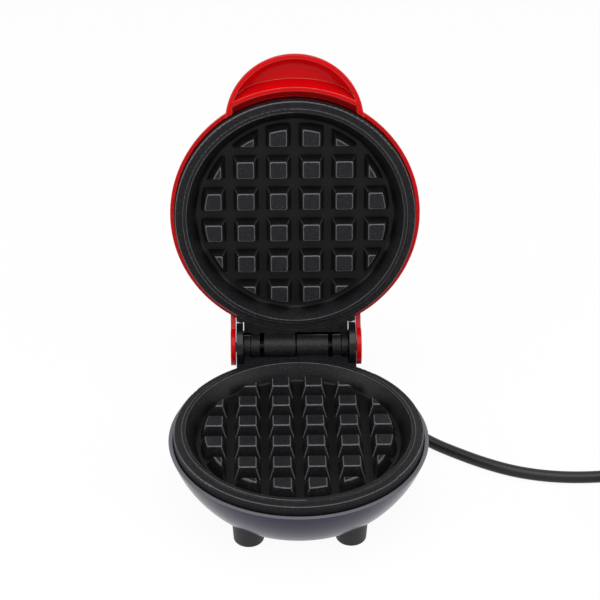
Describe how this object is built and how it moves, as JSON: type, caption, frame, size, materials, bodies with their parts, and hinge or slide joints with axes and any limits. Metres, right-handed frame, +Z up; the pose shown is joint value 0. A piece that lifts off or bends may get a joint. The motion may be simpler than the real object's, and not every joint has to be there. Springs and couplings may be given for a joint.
{
  "type": "waffle maker",
  "caption": "Small round electric waffle maker, lid open: hinged red lid with a half-moon handle, grid cooking plates, dark base on feet and a cord with a plug.",
  "frame": {"origin": "on the table under the middle of the appliance's box with the lid open, without its cord", "axes": "+Z up, -Y towards the person who faces the open cooking plates, +X to their right"},
  "size_m": [0.3328, 0.1824, 0.1897],
  "materials": {
    "lid_red": "gloss",
    "base_grey": "gloss",
    "nonstick": "speckled non-stick coat on cast aluminium",
    "foot_rubber": "matte",
    "pin_steel": "satin",
    "heater_steel": "satin",
    "shield_sheet": "satin",
    "inner_moulding": "matte",
    "wire_sleeve": "matte",
    "loom_sleeve": "matte",
    "cord_pvc": "satin",
    "plug_moulding": "satin",
    "plug_brass": "satin",
    "lens_blue": "gloss"
  },
  "bodies": {
    "base": {"base_shell": "base_grey", "lower_plate": "nonstick", "lower_heater": "heater_steel", "lower_heat_shield": "shield_sheet", "thermostat": "inner_moulding", "thermostat_strap": "shield_sheet", "strap_screws": "pin_steel", "thermal_fuse": "wire_sleeve", "terminal_block": "inner_moulding", "foot_screws": "pin_steel", "base_screws": "pin_steel", "hinge_pin": "pin_steel", "base_wires": "wire_sleeve", "supply_lead": "wire_sleeve", "strain_relief": "plug_moulding", "hinge_loom": "loom_sleeve", "front_left_foot": "foot_rubber", "front_right_foot": "foot_rubber", "rear_left_foot": "foot_rubber", "rear_right_foot": "foot_rubber", "cord_run": "cord_pvc", "cord_coil": "cord_pvc", "coil_tie": "plug_moulding", "plug_body": "plug_moulding", "plug_blades": "plug_brass"},
    "lid": {"lid_shell": "lid_red", "upper_plate": "nonstick", "upper_heater": "heater_steel", "upper_heat_shield": "shield_sheet", "lid_studs": "pin_steel", "indicator_lens": "lens_blue", "indicator_lamp": "inner_moulding", "lid_wires": "wire_sleeve"}
  },
  "joints": [
    {"name": "lid_hinge", "type": "hinge", "parent": "base", "child": "lid", "pos_m": [0, 0.04143, 0.043], "axis": [1, 0, 0], "range_deg": [0, 102], "deforming": ["hinge_loom"]}
  ]
}
